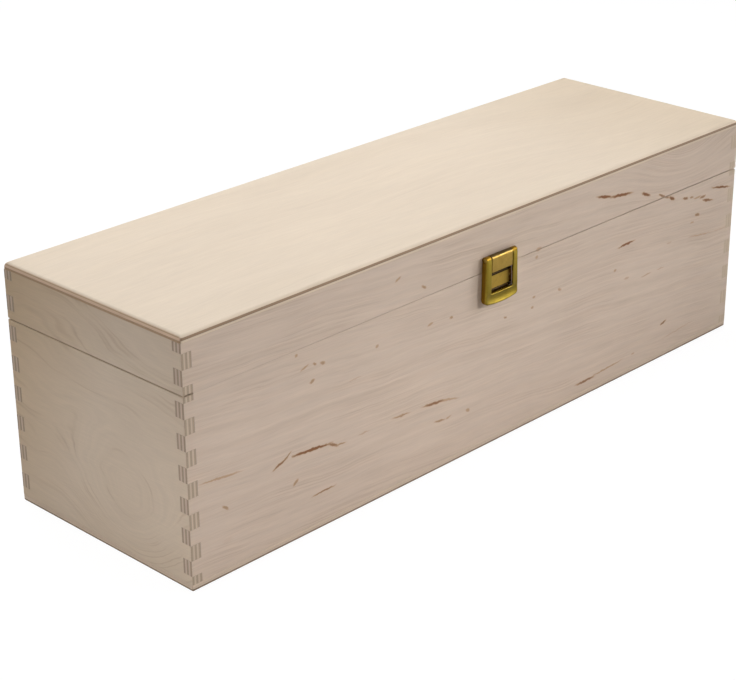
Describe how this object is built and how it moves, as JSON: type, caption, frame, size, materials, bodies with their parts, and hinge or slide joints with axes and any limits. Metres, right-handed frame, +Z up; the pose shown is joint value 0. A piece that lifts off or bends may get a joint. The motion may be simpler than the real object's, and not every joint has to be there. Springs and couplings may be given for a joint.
{
  "type": "wooden wine box",
  "caption": "Long plywood box with finger-jointed corners, a flat hinged lid sawn from the same carcass, and a small brass snap hasp at the front.",
  "frame": {"origin": "middle of the flat underside, on the surface the box stands on", "axes": "+X along the box's length, -Y out of the front where the hasp is, +Z up"},
  "size_m": [0.36, 0.1167, 0.11],
  "materials": {
    "wood_front": "bare birch plywood, sanded",
    "wood_back": "bare birch plywood, sanded",
    "wood_left": "bare birch plywood, sanded",
    "wood_right": "bare birch plywood, sanded",
    "wood_top": "bare birch plywood, sanded",
    "wood_bottom": "bare birch plywood, sanded",
    "brass_hasp": "plated, polished",
    "brass_plates": "plated, polished",
    "brass_pins": "plated",
    "brass_leaves": "plated",
    "brass_fixings": "plated"
  },
  "bodies": {
    "base": {"base_front_wall": "wood_front", "base_back_wall": "wood_back", "base_left_wall": "wood_left", "base_right_wall": "wood_right", "base_bottom_panel": "wood_bottom", "hinge_left_base_leaf": "brass_leaves", "hinge_right_base_leaf": "brass_leaves", "hinge_left_pin": "brass_pins", "hinge_right_pin": "brass_pins", "hinge_base_screws": "brass_fixings", "latch_catch_plate": "brass_plates", "latch_catch_nails": "brass_fixings"},
    "lid": {"lid_front_wall": "wood_front", "lid_back_wall": "wood_back", "lid_left_wall": "wood_left", "lid_right_wall": "wood_right", "lid_top_panel": "wood_top", "hinge_left_lid_leaf": "brass_leaves", "hinge_right_lid_leaf": "brass_leaves", "hinge_lid_screws": "brass_fixings", "latch_lid_plate": "brass_plates", "latch_lid_nails": "brass_fixings", "latch_pivot_pin": "brass_pins"},
    "hasp": {"latch_frame": "brass_hasp"}
  },
  "joints": [
    {"name": "lid_hinge", "type": "hinge", "parent": "base", "child": "lid", "pos_m": [0, 0.0566, 0.085], "axis": [-1, 0, 0], "range_deg": [0, 180]},
    {"name": "hasp_pivot", "type": "hinge", "parent": "lid", "child": "hasp", "pos_m": [0, -0.0566, 0.0912], "axis": [-1, 0, 0], "range_deg": [0, 165]}
  ]
}
